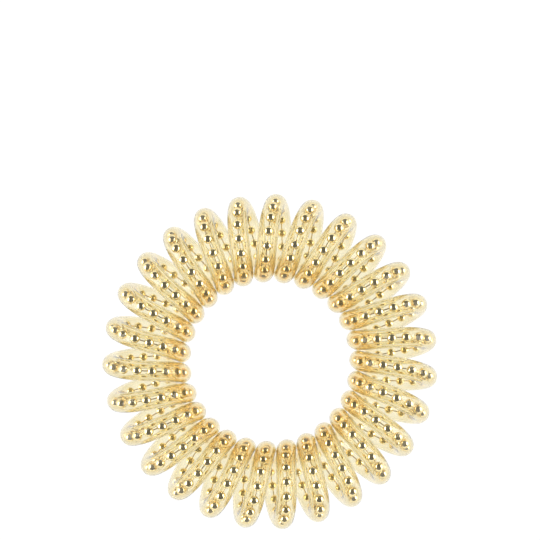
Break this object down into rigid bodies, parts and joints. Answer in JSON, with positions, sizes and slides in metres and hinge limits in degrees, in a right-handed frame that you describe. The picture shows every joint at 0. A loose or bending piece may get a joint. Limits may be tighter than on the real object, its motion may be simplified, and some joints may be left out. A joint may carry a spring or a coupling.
{
  "type": "spiral hair tie",
  "caption": "Spiral hair tie: an endless clear hollow cord coiled into a ring, with a string of gilt beads running inside it; stretches round a ponytail.",
  "frame": {"origin": "on the axis of the ring, at the surface that the tie lies on", "axes": "+Z along the ring's axis, up from the surface; +Y points close to a turn's outermost point; X completes the frame in the ring's plane"},
  "size_m": [0.0499, 0.0499, 0.0132],
  "materials": {
    "clear_plastic": "clear, glossy, soft plastic with a warm yellow tint",
    "gilt_beads": "mirror-bright gilt"
  },
  "bodies": {
    "root": {"clear_cord": "clear_plastic", "bead_string": "gilt_beads"}
  },
  "joints": []
}
